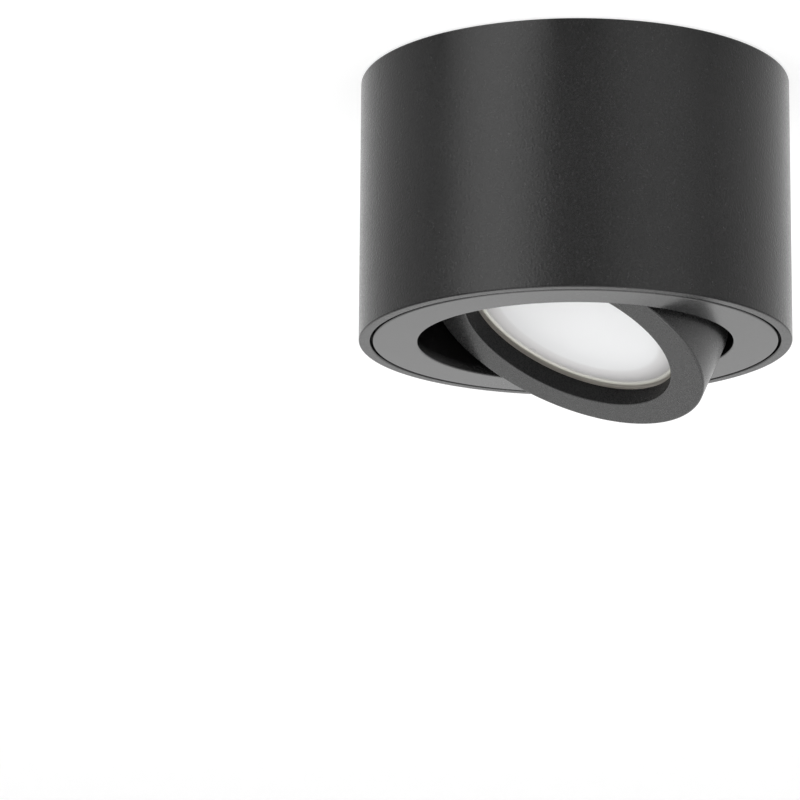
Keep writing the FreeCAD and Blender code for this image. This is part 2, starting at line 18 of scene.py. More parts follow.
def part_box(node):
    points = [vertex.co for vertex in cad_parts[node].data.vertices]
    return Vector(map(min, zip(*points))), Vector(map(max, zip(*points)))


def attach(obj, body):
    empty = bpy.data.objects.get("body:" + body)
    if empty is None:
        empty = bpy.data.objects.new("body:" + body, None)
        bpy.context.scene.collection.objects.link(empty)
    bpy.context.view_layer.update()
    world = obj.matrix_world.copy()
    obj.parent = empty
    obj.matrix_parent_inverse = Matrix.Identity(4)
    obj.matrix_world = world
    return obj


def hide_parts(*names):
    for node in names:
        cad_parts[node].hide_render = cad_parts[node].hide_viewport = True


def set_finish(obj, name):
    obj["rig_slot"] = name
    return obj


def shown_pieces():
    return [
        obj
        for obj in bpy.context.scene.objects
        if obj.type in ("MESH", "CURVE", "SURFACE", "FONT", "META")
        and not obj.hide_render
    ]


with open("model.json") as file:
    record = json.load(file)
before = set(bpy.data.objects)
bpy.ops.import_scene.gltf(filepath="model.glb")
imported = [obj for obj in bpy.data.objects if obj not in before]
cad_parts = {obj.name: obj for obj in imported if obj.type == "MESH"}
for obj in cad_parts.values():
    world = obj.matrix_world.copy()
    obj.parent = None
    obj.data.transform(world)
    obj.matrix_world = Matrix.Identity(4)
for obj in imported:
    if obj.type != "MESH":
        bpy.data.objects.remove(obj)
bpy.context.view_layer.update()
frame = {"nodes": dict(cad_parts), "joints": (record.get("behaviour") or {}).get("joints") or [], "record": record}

# %% [markdown]
# ## The camera
# The photograph was taken with a long lens from a little below the lamp. Circles fitted to
# the can and the plate gave the direction, the distance and the scale. The lamp stands right
# of and above the middle of the picture, so the camera looks past it, with no lens shift.

# %% Point the camera
MM = 0.001
PHOTO_SIDE = 800
SEEN_AT = (574.97, 213.93)
PIXELS_PER_MM = 4.773
CAMERA_DISTANCE = 944 * MM
CAMERA_AZIMUTH = math.radians(147.9)
CAMERA_ELEVATION = math.radians(-16.2)
CAMERA_ROLL = math.radians(-0.14)
SENSOR = 36.0

lamp_middle = Vector((0, 0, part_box("casing")[0].z / 2))


def compass(azimuth, elevation):
    """The unit vector at an azimuth from +X and an elevation above the horizon."""
    level = math.cos(elevation)
    return Vector((level * math.cos(azimuth), level * math.sin(azimuth), math.sin(elevation)))


focal_pixels = PIXELS_PER_MM * CAMERA_DISTANCE / MM
camera_data = bpy.data.cameras.new("camera")
camera_data.sensor_width = SENSOR
camera_data.lens = SENSOR * focal_pixels / PHOTO_SIDE
camera = bpy.data.objects.new("camera", camera_data)
bpy.context.scene.collection.objects.link(camera)
bpy.context.scene.camera = camera

back = compass(CAMERA_AZIMUTH, CAMERA_ELEVATION)
straight = (-back).to_track_quat("-Z", "Y") @ Quaternion((0, 0, 1), CAMERA_ROLL)
sight = Vector((SEEN_AT[0] - PHOTO_SIDE / 2, PHOTO_SIDE / 2 - SEEN_AT[1], -focal_pixels))
camera.rotation_mode = "QUATERNION"
camera.rotation_quaternion = straight @ sight.rotation_difference(Vector((0, 0, -1)))
camera.location = lamp_middle + back * CAMERA_DISTANCE
print("camera: lens", round(camera_data.lens, 1), "mm at", [round(c, 3) for c in camera.location])

# %% [markdown]
# ## Measuring the frame
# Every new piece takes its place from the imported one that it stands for. The tilting head is
# drawn upright in its own frame, with the origin at the pivot, and is turned into place at
# the end, because a turned shape is much easier to write about its own axis.

# %% Measure the pieces
NEAR = 1.0 * MM  # points this close to a height count as on it

tilt_joint = next(j for j in frame["joints"] if j["name"] == "head_tilt")
pivot = Vector(tilt_joint["pos_m"])
rest_tilt = -math.radians(sum(tilt_joint["range_deg"]) / 2)
head_place = Matrix.Translation(pivot) @ Matrix.Rotation(rest_tilt, 4, "X")


def node_points(node, place=Matrix.Identity(4)):
    """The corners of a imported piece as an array, seen from the frame that place describes."""
    mesh = frame["nodes"][node].data
    points = np.empty(len(mesh.vertices) * 3, np.float32)
    mesh.vertices.foreach_get("co", points)
    inverse = np.array(place.inverted())
    return points.reshape(-1, 3) @ inverse[:3, :3].T + inverse[:3, 3]


def radii(points):
    """The distance of each point from the Z axis."""
    return np.hypot(points[:, 0], points[:, 1])


casing_radius = radii(node_points("casing")).max()
casing_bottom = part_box("casing")[0].z
plate_points = node_points("front_plate")
plate_radius = radii(plate_points[plate_points[:, 2] < casing_bottom + NEAR]).max()
hole_radius = radii(plate_points).min()
collar_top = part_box("front_plate")[1].z
ring_points = node_points("tilt_ring", head_place)
ring_radius = radii(ring_points).max()
opening_radius = radii(ring_points).min()
ring_front, ring_back = ring_points[:, 2].min(), ring_points[:, 2].max()
print("casing radius", round(casing_radius / MM, 2), "plate", round(plate_radius / MM, 2))
print("hole", round(hole_radius / MM, 2), "ring", round(ring_radius / MM, 2))
print("tilt", round(math.degrees(rest_tilt), 1), "degrees")

# %% [markdown]
# ## Turned surfaces
# A lathe makes nearly every piece of this lamp, so the helper is a lathe too: an outline of
# radii and heights is carried round the axis. The outline always runs with the metal on its
# left, which makes every face point outwards. Real castings have no sharp corners, so the
# outline's corners are replaced by short arcs before it is turned.

# %% A lathe and rounded corners
SECTORS = 240
ARC_STEPS = 6
SHARP = math.radians(32)
SUPPORT = 0.12 * MM
ON_AXIS = 1e-9


def rounded(corners, closed=True):
    """An outline whose corners (radius, height, rounding) are softened.

    An arc of radius q touches both sides of a corner at q / tan(half angle) from it, and its
    centre lies on the bisector at q / sin(half angle). One more point on each side, just
    beyond the arc, keeps the shading of the flat faces flat.
    """
    outline = []
    count = len(corners)
    for i, (r, z, q) in enumerate(corners):
        here = np.array((r, z))
        if q == 0 or (not closed and i in (0, count - 1)):
            outline.append(here[None])
            continue
        before = np.array(corners[i - 1][:2]) - here
        after = np.array(corners[(i + 1) % count][:2]) - here
        ways = [w / np.linalg.norm(w) for w in (before, after)]
        half = math.acos(np.clip(ways[0] @ ways[1], -1, 1)) / 2
        bisector = (ways[0] + ways[1]) / np.linalg.norm(ways[0] + ways[1])
        centre = here + bisector * q / math.sin(half)
        touch = q / math.tan(half)
        ends = [here + w * touch - centre for w in ways]
        sweep = math.pi - 2 * half
        share = np.linspace(0, 1, ARC_STEPS + 1)[:, None]
        arc = (ends[0] * np.sin((1 - share) * sweep) + ends[1] * np.sin(share * sweep)) / math.sin(sweep)
        guards = [here + w * (touch + SUPPORT) for w in ways]
        outline += [guards[0][None], centre + arc, guards[1][None]]
    return np.concatenate(outline)


def lathe(outline, sectors=SECTORS):
    """Points and faces of an outline turned about Z.

    The point at angle a of the outline point (r, z) is (r cos a, r sin a, z). Two neighbours
    on the outline and two neighbouring angles give one face. An outline that starts and ends
    on the axis gets a single point there, and any other one is closed into a ring.
    """
    on_axis = outline[0, 0] < ON_AXIS
    rows = outline[1:-1] if on_axis else outline
    angle = np.arange(sectors) * 2 * math.pi / sectors
    points = np.empty((len(rows), sectors, 3))
    points[..., 0] = rows[:, :1] * np.cos(angle)
    points[..., 1] = rows[:, :1] * np.sin(angle)
    points[..., 2] = rows[:, 1:]
    points = points.reshape(-1, 3)
    row = np.arange(len(rows) - 1 if on_axis else len(rows))[:, None] * sectors
    up = (row + sectors) % len(points)
    this, following = np.arange(sectors), (np.arange(sectors) + 1) % sectors
    quads = np.stack([row + this, row + following, up + following, up + this], -1)
    faces = quads.reshape(-1, 4).tolist()
    if on_axis:
        last = (len(rows) - 1) * sectors
        start, end = len(points), len(points) + 1
        points = np.vstack([points, (0, 0, outline[0, 1]), (0, 0, outline[-1, 1])])
        faces += np.stack([np.full(sectors, start), following, this], -1).tolist()
        faces += np.stack([last + this, last + following, np.full(sectors, end)], -1).tolist()
    return points, faces


def new_piece(name, points, faces, place=None):
    """A smooth shaded object at the origin, with its place in its mesh."""
    mesh = bpy.data.meshes.new(name)
    mesh.from_pydata(points.tolist(), [], faces)
    if place is not None:
        mesh.transform(place)
    mesh.shade_smooth()
    mesh.set_sharp_from_angle(angle=SHARP)
    made = bpy.data.objects.new(name, mesh)
    bpy.context.scene.collection.objects.link(made)
    return made


print("a turned piece has", SECTORS, "sectors, and a rounded corner", ARC_STEPS, "steps")

# %% [markdown]
# ## Carving
# Slots, rivet seats and screw bores can't be turned. They are cut as in a workshop: a tool
# body is laid where the metal has to go and a Boolean takes it away. The tools are prisms,
# which is an outline given a height, so round and oblong holes come from one function.

# %% Prisms and the carving tool
HOLE_SECTORS = 64


def disc_outline(radius, x=0.0, y=0.0):
    """Points on a circle about (x, y)."""
    angle = np.arange(HOLE_SECTORS) * 2 * math.pi / HOLE_SECTORS
    return np.stack([x + radius * np.cos(angle), y + radius * np.sin(angle)], -1)


def oblong_outline(length, width, x=0.0, y=0.0):
    """Two half circles joined by straight sides: a circle whose halves are moved apart."""
    outline = disc_outline(width / 2)
    outline[:, 0] += np.where(outline[:, 0] >= 0, 1, -1) * (length - width) / 2
    return outline + (x, y)


def prism(outline, low, high):
    """Points and faces of an outline carried from one height to another, with both ends closed."""
    count = len(outline)
    floor = np.column_stack([outline, np.full(count, low)])
    roof = np.column_stack([outline, np.full(count, high)])
    this, following = np.arange(count), (np.arange(count) + 1) % count
    sides = np.stack([this, following, following + count, this + count], -1).tolist()
    ends = [this[::-1].tolist(), (this + count).tolist()]
    return np.vstack([floor, roof]), sides + ends


def radial_place(azimuth, height):
    """Lays a shape drawn along Z out along a radius, at an azimuth and a height."""
    lying = Matrix.Rotation(azimuth, 4, "Z") @ Matrix.Rotation(math.pi / 2, 4, "Y")
    return Matrix.Translation((0, 0, height)) @ lying


def carve(body, tools, operation="DIFFERENCE"):
    """Cuts the tools out of the body, or welds them on, and takes the tools away."""
    for tool in tools:
        change = body.modifiers.new(tool.name, "BOOLEAN")
        change.operation = operation
        change.solver = "EXACT"
        change.object = tool
    bpy.context.view_layer.update()
    shape = bpy.data.meshes.new_from_object(body.evaluated_get(bpy.context.evaluated_depsgraph_get()))
    body.modifiers.clear()
    body.data = shape
    shape.shade_smooth()
    shape.set_sharp_from_angle(angle=SHARP)
    for tool in tools:
        bpy.data.objects.remove(tool)
    return body


print("a bored hole has", HOLE_SECTORS, "sides")

# %% [markdown]
# ## The casing
# The can is one casting: a tube with a closed back. The rim is thinner than the wall behind
# it, and a groove runs round the inside for the springs that hold the plate. The outline goes
# from the axis along the inside of the back, down the bore, round the rim and up the outside.

# %% Turn the casing and cut its back
RIM_WALL = 2.4 * MM
CASING_WALL = 3.8 * MM
BACK_WALL = 3.0 * MM
LEDGE_DEPTH = 2.7 * MM
GROOVE_MIDDLE = 12.0 * MM
GROOVE_HALF = 2.5 * MM
GROOVE_FLANK = 2.5 * MM
GROOVE_DEPTH = 1.2 * MM
RIM_ROUNDING = 0.35 * MM
INNER_ROUNDING = 1.2 * MM

rim_radius = casing_radius - RIM_WALL
bore_radius = casing_radius - CASING_WALL
groove = casing_bottom + GROOVE_MIDDLE
casing_outline = rounded(
    [
        (0, -BACK_WALL, 0),
        (bore_radius, -BACK_WALL, INNER_ROUNDING),
        (bore_radius, groove + GROOVE_HALF + GROOVE_FLANK, RIM_ROUNDING),
        (bore_radius + GROOVE_DEPTH, groove + GROOVE_HALF, RIM_ROUNDING),
        (bore_radius + GROOVE_DEPTH, groove - GROOVE_HALF, RIM_ROUNDING),
        (bore_radius, groove - GROOVE_HALF - GROOVE_FLANK, RIM_ROUNDING),
        (bore_radius, casing_bottom + LEDGE_DEPTH, 0),
        (rim_radius, casing_bottom + LEDGE_DEPTH, 0),
        (rim_radius, casing_bottom, RIM_ROUNDING),
        (casing_radius, casing_bottom, RIM_ROUNDING),
        (casing_radius, 0, RIM_ROUNDING),
        (0, 0, 0),
    ],
    closed=False,
)
casing = new_piece("casing_shell", *lathe(casing_outline))
print("casing shell:", len(casing.data.polygons), "faces before carving")

# %% Slots, cable hole and earth boss
EARTH_BOSS_RADIUS = 4.0 * MM
EARTH_BOSS_HEIGHT = 3.0 * MM
FIT_GAP = 0.03 * MM
GROMMET_LIP = 1.0 * MM
GROMMET_NECK_RADIUS = 6.5 * MM
GROMMET_LIP_RADIUS = 8.0 * MM
THREAD_RADIUS = 2.0 * MM
PAST = 1.0 * MM


def middle_of(node):
    """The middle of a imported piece's box."""
    low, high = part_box(node)
    return (low + high) / 2


slots = next(m for m in frame["record"]["mounts"] if m["name"] == "ceiling_slots")["dims"]
slot_pitch = slots["spacing_x_mm"] * MM
slot_width = 2 * slots["hole_r_mm"] * MM
slot_length = slots["slot_length_mm"] * MM
grommet_middle = middle_of("cable_grommet")
earth_middle = middle_of("earth_screw")
boss_end = -BACK_WALL - EARTH_BOSS_HEIGHT
boss = disc_outline(EARTH_BOSS_RADIUS, earth_middle.x, earth_middle.y)
carve(casing, [new_piece("boss", *prism(boss, boss_end, -BACK_WALL / 2))], "UNION")
tools = []
for side in (-1, 1):
    slot = oblong_outline(slot_length, slot_width, side * slot_pitch / 2)
    tools.append(new_piece("slot", *prism(slot, -BACK_WALL - PAST, PAST)))
neck = disc_outline(GROMMET_NECK_RADIUS + FIT_GAP, y=grommet_middle.y)
lip = disc_outline(GROMMET_LIP_RADIUS + FIT_GAP, y=grommet_middle.y)
bore = disc_outline(THREAD_RADIUS + FIT_GAP, earth_middle.x, earth_middle.y)
tools.append(new_piece("neck", *prism(neck, -BACK_WALL - PAST, -GROMMET_LIP / 2)))
tools.append(new_piece("lip", *prism(lip, -GROMMET_LIP, PAST)))
tools.append(new_piece("bore", *prism(bore, boss_end - PAST, -BACK_WALL)))
carve(casing, tools)
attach(casing, "housing")
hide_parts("casing")
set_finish(casing, "casing_paint")
print("casing shell:", len(casing.data.polygons), "faces after carving")

# %% [markdown]
# ## The front plate
# The plate and the collar behind its hole are one casting. Two bosses outside the collar take
# the pivot screws, and three rivets hold the grip springs. Only the face and the inside of
# the hole show, but the back is there too, because the plate can be turned and taken out.

# %% Turn the plate and weld its bosses
PLATE_THICKNESS = 2.4 * MM
COLLAR_WALL = 2.0 * MM
PLATE_ROUNDING = 0.3 * MM
BOSS_RADIUS = 3.4 * MM
PIVOT_THREAD = 1.5 * MM
RIVET_HEAD = 3.55 * MM
RIVET_SHANK = 1.4 * MM
SPOT_FACE = 0.1 * MM
RIVET_COUNT = 3

collar_radius = hole_radius + COLLAR_WALL
plate_back = casing_bottom + PLATE_THICKNESS
pivot_boss_end = plate_points[np.abs(plate_points[:, 2] - pivot.z) < NEAR, 0].max()
plate_outline = rounded(
    [
        (hole_radius, casing_bottom, PLATE_ROUNDING),
        (plate_radius, casing_bottom, PLATE_ROUNDING),
        (plate_radius, plate_back, 0),
        (collar_radius, plate_back, PLATE_ROUNDING),
        (collar_radius, collar_top, PLATE_ROUNDING),
        (hole_radius, collar_top, PLATE_ROUNDING),
    ]
)
plate = new_piece("plate_and_collar", *lathe(plate_outline))


def rivet_azimuths(node, place=Matrix.Identity(4)):
    """Where the three rivets of a group stand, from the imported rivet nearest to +Y."""
    points = node_points(node, place)
    turns = np.arctan2(points[:, 1], points[:, 0]) % (2 * math.pi / RIVET_COUNT)
    about = np.median(turns)
    return [about + i * 2 * math.pi / RIVET_COUNT for i in range(RIVET_COUNT)]


grip_azimuths = rivet_azimuths("grip_rivets")
clip_azimuths = rivet_azimuths("clip_rivets", head_place)
print("grip rivets at", [round(math.degrees(a), 1) for a in grip_azimuths])
print("clip rivets at", [round(math.degrees(a), 1) for a in clip_azimuths])

# %% Bosses, rivet seats and screw bores of the plate
tools = []
for azimuth in (0, math.pi):
    start = collar_radius - COLLAR_WALL / 2
    place = radial_place(azimuth, pivot.z)
    tools.append(new_piece("boss", *prism(disc_outline(BOSS_RADIUS), start, pivot_boss_end), place))
    foot = np.array([(start, -1), (pivot_boss_end, -1), (pivot_boss_end, 1), (start, 1)])
    foot[:, 1] *= BOSS_RADIUS
    turn = Matrix.Rotation(azimuth, 4, "Z")
    tools.append(new_piece("rib", *prism(foot, plate_back - PLATE_THICKNESS / 2, pivot.z), turn))
carve(plate, tools, "UNION")
grip_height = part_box("grip_rivets")[0].z + RIVET_HEAD
tools = []
for azimuth in grip_azimuths:
    place = radial_place(azimuth, grip_height)
    seat = prism(disc_outline(RIVET_HEAD + FIT_GAP), hole_radius - 2 * PAST, hole_radius + SPOT_FACE)
    shank = prism(disc_outline(RIVET_SHANK + FIT_GAP), hole_radius - PAST, collar_radius + PAST)
    tools.append(new_piece("seat", *seat, place))
    tools.append(new_piece("shank", *shank, place))
for azimuth in (0, math.pi):
    thread = prism(disc_outline(PIVOT_THREAD + FIT_GAP), hole_radius - PAST, pivot_boss_end + PAST)
    tools.append(new_piece("thread", *thread, radial_place(azimuth, pivot.z)))
carve(plate, tools)
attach(plate, "insert")
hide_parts("front_plate")
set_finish(plate, "plate_paint")
print("plate and collar:", len(plate.data.polygons), "faces")

# %% [markdown]
# ## The tilting ring
# The ring is a short tube with a lip in front. The light module lies against the lip from
# behind. The photograph shows a thin light line where the lip's edges catch the room, so the
# rounding of those edges is part of the likeness. The outer one is the lamp's lowest edge, and
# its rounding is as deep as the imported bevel, so that the lamp keeps its height. The ring is
# drawn upright and then tilted.

# %% Turn the ring
LIP_THICKNESS = 3.9 * MM
RING_WALL = 3.3 * MM
SEAT_RADIUS = 25.2 * MM
SEAT_STEP = 3.3 * MM
RING_ROUNDING = 0.3 * MM
LOWEST_ROUNDING = 0.46 * MM
PIVOT_BORE = 1.3 * MM
CLIP_RIVET_INSET = 3.6 * MM

ring_bore = ring_radius - RING_WALL
clip_rivet_rise = ring_back - CLIP_RIVET_INSET
seat_height = ring_front + LIP_THICKNESS
ring_outline = rounded(
    [
        (opening_radius, ring_front, RING_ROUNDING),
        (ring_radius, ring_front, LOWEST_ROUNDING),
        (ring_radius, ring_back, RING_ROUNDING),
        (ring_bore, ring_back, RING_ROUNDING),
        (ring_bore, seat_height + SEAT_STEP, 0),
        (SEAT_RADIUS, seat_height + SEAT_STEP, 0),
        (SEAT_RADIUS, seat_height, 0),
        (opening_radius, seat_height, 0),
    ]
)
ring = new_piece("tilt_ring_body", *lathe(ring_outline))
clip_seat = math.sqrt(ring_radius**2 - RIVET_HEAD**2) - SPOT_FACE
tools = []
for azimuth in clip_azimuths:
    place = radial_place(azimuth, clip_rivet_rise)
    seat = prism(disc_outline(RIVET_HEAD + FIT_GAP), clip_seat, ring_radius + PAST)
    shank = prism(disc_outline(RIVET_SHANK + FIT_GAP), ring_bore - PAST, ring_radius)
    tools.append(new_piece("seat", *seat, place))
    tools.append(new_piece("shank", *shank, place))
for azimuth in (0, math.pi):
    pin = prism(disc_outline(PIVOT_BORE), ring_bore - PAST, ring_radius + PAST)
    tools.append(new_piece("pin", *pin, radial_place(azimuth, 0)))
carve(ring, tools)
ring.data.transform(head_place)
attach(ring, "head")
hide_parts("tilt_ring")
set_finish(ring, "ring_paint")
print("tilting ring:", len(ring.data.polygons), "faces")

# %% [markdown]
# ## The lens
# The light module is closed by an opal cap. Its outer rim lies against the ring's lip from
# behind, and its face lies a little deeper: a small rounded bead close to the lip, a shallow
# cone that falls inwards, and a wide, almost flat disc. Bead and cone stay in half shade.

# %% Turn the lens
MODULE_RADIUS = 25.0 * MM
LENS_RIM_WIDTH = 1.0 * MM
LENS_RIM_HEIGHT = 2.0 * MM
LENS_RECESS = 1.25 * MM
LENS_SPIGOT = 21.1 * MM
LENS_WALL = 1.5 * MM
BEAD_INSET = 0.45 * MM
BEAD_HALF = 0.6 * MM
BEAD_HEIGHT = 0.35 * MM
BEAD_STEPS = 14
DISC_INSET = 4.5 * MM
DISC_DISH = 0.15 * MM
DISC_CROWN = 0.05 * MM
DISC_ROUNDING = 8.0 * MM
CROWN_STEPS = 12
CROWN_INSET = 1.0 * MM
LENS_ROUNDING = 0.2 * MM

bead_radius = opening_radius - BEAD_INSET
disc_radius = opening_radius - DISC_INSET
lens_floor = seat_height + LENS_RECESS
disc_front = lens_floor + DISC_DISH

# the crown's height falls with the square of the radius
crown_radius = np.linspace(0, disc_radius - CROWN_INSET, CROWN_STEPS)
crown_height = disc_front - DISC_CROWN * (1 - (crown_radius / disc_radius) ** 2)
crown = np.stack([crown_radius, crown_height], -1)
cone = rounded(
    [
        (*crown[-1], 0),
        (disc_radius, disc_front, DISC_ROUNDING),
        (bead_radius - BEAD_HALF, lens_floor, 0),
    ],
    closed=False,
)
# the bead is an arch: its height is the sine of the share of a half turn
turn = np.linspace(0, math.pi, BEAD_STEPS + 1)[1:-1]
bead = np.stack([bead_radius - BEAD_HALF * np.cos(turn), lens_floor - BEAD_HEIGHT * np.sin(turn)], -1)
behind = rounded(
    [
        (bead_radius + BEAD_HALF, lens_floor, 0),
        (MODULE_RADIUS - LENS_RIM_WIDTH, lens_floor, LENS_ROUNDING),
        (MODULE_RADIUS - LENS_RIM_WIDTH, seat_height, LENS_ROUNDING),
        (MODULE_RADIUS, seat_height, LENS_ROUNDING),
        (MODULE_RADIUS, seat_height + LENS_RIM_HEIGHT, LENS_ROUNDING),
        (LENS_SPIGOT, seat_height + LENS_RIM_HEIGHT, 0),
        (disc_radius, disc_front + LENS_WALL, 0),
        (0, disc_front + LENS_WALL, 0),
    ],
    closed=False,
)
lens = new_piece("opal_lens", *lathe(np.concatenate([crown[:-1], cone, bead, behind])), head_place)
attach(lens, "head")
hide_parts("lens")
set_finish(lens, "opal_lens")
print("lens:", len(lens.data.polygons), "faces")

# %% [markdown]
# ## Rivets
# Three rivets hold the springs on the collar and three more hold the clips inside the ring.
# Their heads are broad and slightly domed, so that they stay below the running gap. One
# outline serves all six: tail, shank, the underside of the head and its dome.

# %% Turn and set the rivets
RIVET_RIM = 0.3 * MM
RIVET_CROWN = 0.65 * MM
RIVET_TAIL_RADIUS = 2.1 * MM
RIVET_TAIL = 0.7 * MM
RIVET_ROUNDING = 0.12 * MM
RIVET_SECTORS = 72
DOME_INSET = 4 * RIVET_ROUNDING
DOME_FOOT = RIVET_RIM + RIVET_ROUNDING / 2
DOME_STEPS = 10
SPRING_THICKNESS = 0.5 * MM
CLIP_THICKNESS = 0.4 * MM
CLIP_HALF_WIDTH = 3.0 * MM


def rivet(grip):
    """A rivet along Z with its head above 0; its dome falls with the square of the radius."""
    body = rounded(
        [
            (0, -grip - RIVET_TAIL, 0),
            (RIVET_TAIL_RADIUS, -grip - RIVET_TAIL, RIVET_ROUNDING),
            (RIVET_TAIL_RADIUS, -grip, RIVET_ROUNDING),
            (RIVET_SHANK, -grip, 0),
            (RIVET_SHANK, 0, 0),
            (RIVET_HEAD, 0, 0),
            (RIVET_HEAD, RIVET_RIM, RIVET_ROUNDING),
            (RIVET_HEAD - DOME_INSET, DOME_FOOT, 0),
        ],
        closed=False,
    )
    across = np.linspace(body[-1, 0], 0, DOME_STEPS)[1:]
    dome = RIVET_CROWN - (RIVET_CROWN - body[-1, 1]) * (across / body[-1, 0]) ** 2
    return lathe(np.concatenate([body, np.stack([across, dome], -1)]), RIVET_SECTORS)


def joined(name, shapes):
    """One piece from several (points, faces, place) shapes."""
    points, faces = [], []
    for shape_points, shape_faces, place in shapes:
        turned = np.array(place)
        start = sum(map(len, points))
        points.append(shape_points @ turned[:3, :3].T + turned[:3, 3])
        faces += [[start + i for i in face] for face in shape_faces]
    return new_piece(name, np.concatenate(points), faces)


clip_plane = math.sqrt(ring_bore**2 - CLIP_HALF_WIDTH**2) - FIT_GAP
inwards = Matrix.Translation((0, 0, hole_radius + SPOT_FACE)) @ Matrix.Rotation(math.pi, 4, "X")
outwards = Matrix.Translation((0, 0, clip_seat))
grip_rivet = rivet(collar_radius + SPRING_THICKNESS - hole_radius - SPOT_FACE)
clip_rivet = rivet(clip_seat - clip_plane + CLIP_THICKNESS)
grip_shapes = [(*grip_rivet, radial_place(a, grip_height) @ inwards) for a in grip_azimuths]
clip_shapes = [
    (*clip_rivet, head_place @ radial_place(a, clip_rivet_rise) @ outwards) for a in clip_azimuths
]
for name, shapes, body, node in (
    ("rivets_of_the_springs", grip_shapes, "insert", "grip_rivets"),
    ("rivets_of_the_clips", clip_shapes, "head", "clip_rivets"),
):
    made = joined(name, shapes)
    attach(made, body)
    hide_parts(node)
    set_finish(made, "nickel")
    print(name, len(made.data.polygons), "faces")

# %% [markdown]
# ## Finishes as arithmetic
# A procedural finish is a chain of nodes, and most of the chain is sums. Wrapping a socket in
# a small class lets the sums be written as sums: every operator adds one Math node, also
# where a plain number stands on its left.


# %% Sockets that can be added and multiplied
class Socket:
    """The output of a node. Arithmetic on it adds Math nodes to its finish."""

    def __init__(self, finish, socket):
        self.finish = finish
        self.socket = socket

    def maths(self, operation, *values):
        return self.finish.node("ShaderNodeMath", {"operation": operation}, dict(enumerate(values)))

    def __add__(self, other):
        return self.maths("ADD", self, other)

    def __sub__(self, other):
        return self.maths("SUBTRACT", self, other)

    def __rsub__(self, other):
        return self.maths("SUBTRACT", other, self)

    def __mul__(self, other):
        return self.maths("MULTIPLY", self, other)

    def __gt__(self, other):
        return self.maths("GREATER_THAN", self, other)

    def __or__(self, other):
        return self.maths("MAXIMUM", self, other)

    __radd__ = __add__
    __rmul__ = __mul__


print("a socket takes + - * and >, and | for the larger of two")

# %% [markdown]
# ## One method for every node
# All other nodes come from one method, which sets a node's settings first and its inputs
# after. A number or colour is written into an input, and another socket is linked to it. The
# short methods that follow are the words of the recipes below: noise, cells, a blend of two
# colours, a relief and a ramp.


# %% The nodes of a finish
class Finish:
    """The nodes of one material, or of the world, and the shader they feed."""

    def __init__(self, owner):
        owner.use_nodes = True
        self.owner = owner
        self.tree = owner.node_tree
        self.shader = next(node for node in self.tree.nodes if node.outputs)
        self.end = next(node for node in self.tree.nodes if not node.outputs)

    @cached_property
    def place(self):
        """Where a point of the piece is, in metres."""
        return self.node("ShaderNodeTexCoord", output="Object")

    def node(self, kind, settings=None, inputs=None, output=0):
        """A node of a kind, with its settings set first and then its values and links."""
        made = self.tree.nodes.new(kind)
        for name, value in (settings or {}).items():
            if name == "stops":
                self.set_stops(made.color_ramp, value)
            else:
                setattr(made, name, value)
        for name, value in (inputs or {}).items():
            self.feed(made.inputs[name], value)
        return Socket(self, made.outputs[output])

    def set_stops(self, ramp, stops):
        """Colours of a ramp as (position, grey or colour) pairs, from low to high."""
        while len(ramp.elements) < len(stops):
            ramp.elements.new(1)
        for element, (position, colour) in zip(ramp.elements, stops):
            element.position = position
            element.color = rgba(colour)

    def feed(self, socket, value):
        """Gives a socket a value, or a link when the value is another socket."""
        if isinstance(value, Socket):
            self.tree.links.new(value.socket, socket)
        else:
            socket.default_value = value

    def noise(self, size, detail=2.0, place=None):
        """Cloudy noise from 0 to 1 whose clouds are about so many metres wide."""
        inputs = {"Vector": place or self.place, "Scale": 1 / size, "Detail": detail}
        return self.node("ShaderNodeTexNoise", {}, inputs)

    def cells(self, size):
        """A random number from 0 to 1 for each grain of about that size."""
        inputs = {"Vector": self.place, "Scale": 1 / size}
        colour = self.node("ShaderNodeTexVoronoi", {}, inputs, "Color")
        return self.node("ShaderNodeSeparateColor", {}, {"Color": colour})

    def blend(self, share, first, second):
        """Two colours mixed by a share: inputs 6 and 7 and output 2 of a Mix node are colours."""
        inputs = {0: share, 6: first, 7: second}
        return self.node("ShaderNodeMix", {"data_type": "RGBA"}, inputs, 2)

    def relief(self, height, depth):
        """A normal from a height between 0 and 1 that stands for so many metres."""
        return self.node("ShaderNodeBump", {}, {"Height": height, "Distance": depth})

    def ramp(self, value, start, stop, most):
        """0 where the value is at the start, the most where it is at the stop, even between."""
        inputs = {"Value": value, "From Min": start, "From Max": stop, "To Max": most}
        return self.node("ShaderNodeMapRange", {}, inputs)

    def shade(self, **inputs):
        """Feeds the Principled shader; an underscore stands for a space."""
        for name, value in inputs.items():
            self.feed(self.shader.inputs[name.replace("_", " ")], value)
        return self


def to_head(finish):
    """The place on a finish, seen upright from the pivot of the tilting head."""
    inputs = {"Vector": finish.place, "Location": pivot, "Rotation": (rest_tilt, 0, 0)}
    return finish.node("ShaderNodeMapping", {"vector_type": "TEXTURE"}, inputs)


def from_axis(finish, place):
    """The distance of a place from its Z axis."""
    flat = finish.node("ShaderNodeVectorMath", {"operation": "MULTIPLY"}, {0: place, 1: (1, 1, 0)})
    return finish.node("ShaderNodeVectorMath", {"operation": "LENGTH"}, {0: flat}, "Value")


def rgba(colour):
    """A colour of four numbers from a grey or from three."""
    return (*(colour if hasattr(colour, "__len__") else (colour,) * 3), 1)


print("a grey of 0.5 as a colour:", rgba(0.5))

